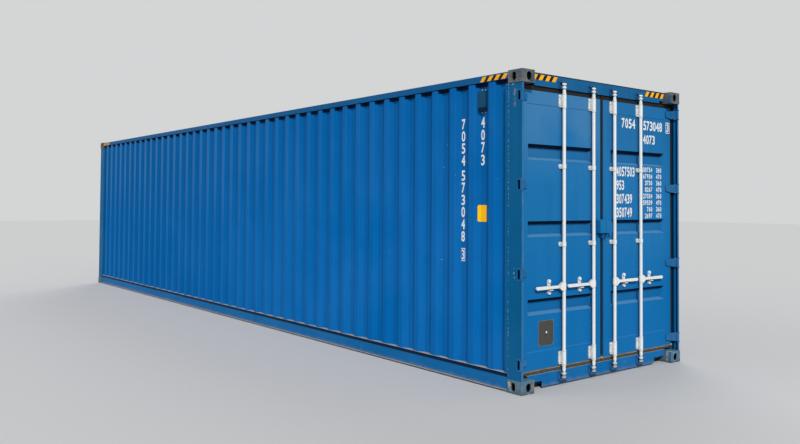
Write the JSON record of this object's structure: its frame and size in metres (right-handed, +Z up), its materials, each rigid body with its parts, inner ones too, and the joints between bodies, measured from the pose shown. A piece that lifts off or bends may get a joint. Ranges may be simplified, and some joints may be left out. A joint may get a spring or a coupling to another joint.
{
  "type": "shipping container",
  "caption": "Steel dry-freight shipping container with corrugated walls, hinged cargo doors, lock bars with swing handles, and slotted corner fittings for lifting and stacking.",
  "frame": {"origin": "middle of the base, level with the undersides of the bottom corner fittings", "axes": "+X along the length towards the doors, +Y to the right-hand side seen from outside facing the doors, +Z up"},
  "size_m": [12.192, 2.438, 2.896],
  "materials": {
    "frame_paint": "worn satin blue paint",
    "wall_paint": "satin blue paint",
    "door_paint": "satin blue paint",
    "fitting_paint": "chipped blue paint over cast steel",
    "gear_white": "white paint",
    "gasket_rubber": "dusty black rubber",
    "floor_wood": "worn plywood",
    "vent_plastic": "blue-grey moulding",
    "plate_metal": "dull bare plate"
  },
  "bodies": {
    "container": {"rear_bottom_corner_fittings": "fitting_paint", "rear_top_corner_fittings": "fitting_paint", "front_bottom_corner_fittings": "fitting_paint", "front_top_corner_fittings": "fitting_paint", "left_rear_post": "frame_paint", "right_rear_post": "frame_paint", "front_corner_posts": "frame_paint", "left_bottom_side_rail": "frame_paint", "right_bottom_side_rail": "frame_paint", "top_side_rails": "frame_paint", "front_top_rail": "frame_paint", "front_sill": "frame_paint", "door_header": "frame_paint", "door_sill": "frame_paint", "left_side_wall": "wall_paint", "right_side_wall": "wall_paint", "front_wall": "wall_paint", "roof": "wall_paint", "floor": "floor_wood", "cross_members": "frame_paint", "left_tunnel_outriggers": "frame_paint", "right_tunnel_outriggers": "frame_paint", "gooseneck_tunnel": "frame_paint", "ventilators": "vent_plastic", "header_cam_keepers": "frame_paint", "sill_cam_keepers": "frame_paint", "hinge_lugs": "frame_paint"},
    "left_door": {"left_door_frame": "door_paint", "left_door_panel": "door_paint", "left_door_gasket": "gasket_rubber", "left_door_hinges": "door_paint", "left_rod_brackets": "gear_white", "left_handle_catches": "gear_white", "left_lock_box": "door_paint", "data_plate": "plate_metal"},
    "left_outer_lock_bar": {"left_outer_lock_bar": "gear_white"},
    "left_outer_handle": {"left_outer_handle": "gear_white"},
    "left_inner_lock_bar": {"left_inner_lock_bar": "gear_white"},
    "left_inner_handle": {"left_inner_handle": "gear_white"},
    "right_door": {"right_door_frame": "door_paint", "right_door_panel": "door_paint", "right_door_gasket": "gasket_rubber", "right_door_hinges": "door_paint", "right_rod_brackets": "gear_white", "right_handle_catches": "gear_white", "right_lock_box": "door_paint"},
    "right_outer_lock_bar": {"right_outer_lock_bar": "gear_white"},
    "right_outer_handle": {"right_outer_handle": "gear_white"},
    "right_inner_lock_bar": {"right_inner_lock_bar": "gear_white"},
    "right_inner_handle": {"right_inner_handle": "gear_white"}
  },
  "joints": [
    {"name": "left_door_hinge", "type": "hinge", "parent": "container", "child": "left_door", "pos_m": [6.079, -1.202, 1.45], "axis": [0, 0, 1], "range_deg": [-270, 0]},
    {"name": "left_outer_bar_turn", "type": "hinge", "parent": "left_door", "child": "left_outer_lock_bar", "pos_m": [6.042, -0.5975, 1.45], "axis": [0, 0, 1], "range_deg": [0, 110]},
    {"name": "left_outer_handle_lift", "type": "hinge", "parent": "left_outer_lock_bar", "child": "left_outer_handle", "pos_m": [6.042, -0.6455, 0.91714], "axis": [-1, 0, 0], "range_deg": [0, 20]},
    {"name": "left_inner_bar_turn", "type": "hinge", "parent": "left_door", "child": "left_inner_lock_bar", "pos_m": [6.042, -0.16393, 1.45], "axis": [0, 0, 1], "range_deg": [0, 110]},
    {"name": "left_inner_handle_lift", "type": "hinge", "parent": "left_inner_lock_bar", "child": "left_inner_handle", "pos_m": [6.042, -0.21193, 0.91714], "axis": [-1, 0, 0], "range_deg": [0, 20]},
    {"name": "right_door_hinge", "type": "hinge", "parent": "container", "child": "right_door", "pos_m": [6.079, 1.202, 1.45], "axis": [0, 0, -1], "range_deg": [-270, 0]},
    {"name": "right_outer_bar_turn", "type": "hinge", "parent": "right_door", "child": "right_outer_lock_bar", "pos_m": [6.042, 0.5975, 1.45], "axis": [0, 0, -1], "range_deg": [0, 110]},
    {"name": "right_outer_handle_lift", "type": "hinge", "parent": "right_outer_lock_bar", "child": "right_outer_handle", "pos_m": [6.042, 0.6455, 0.91714], "axis": [1, 0, 0], "range_deg": [0, 20]},
    {"name": "right_inner_bar_turn", "type": "hinge", "parent": "right_door", "child": "right_inner_lock_bar", "pos_m": [6.042, 0.16393, 1.45], "axis": [0, 0, -1], "range_deg": [0, 110]},
    {"name": "right_inner_handle_lift", "type": "hinge", "parent": "right_inner_lock_bar", "child": "right_inner_handle", "pos_m": [6.042, 0.21193, 0.91714], "axis": [1, 0, 0], "range_deg": [0, 20]}
  ]
}
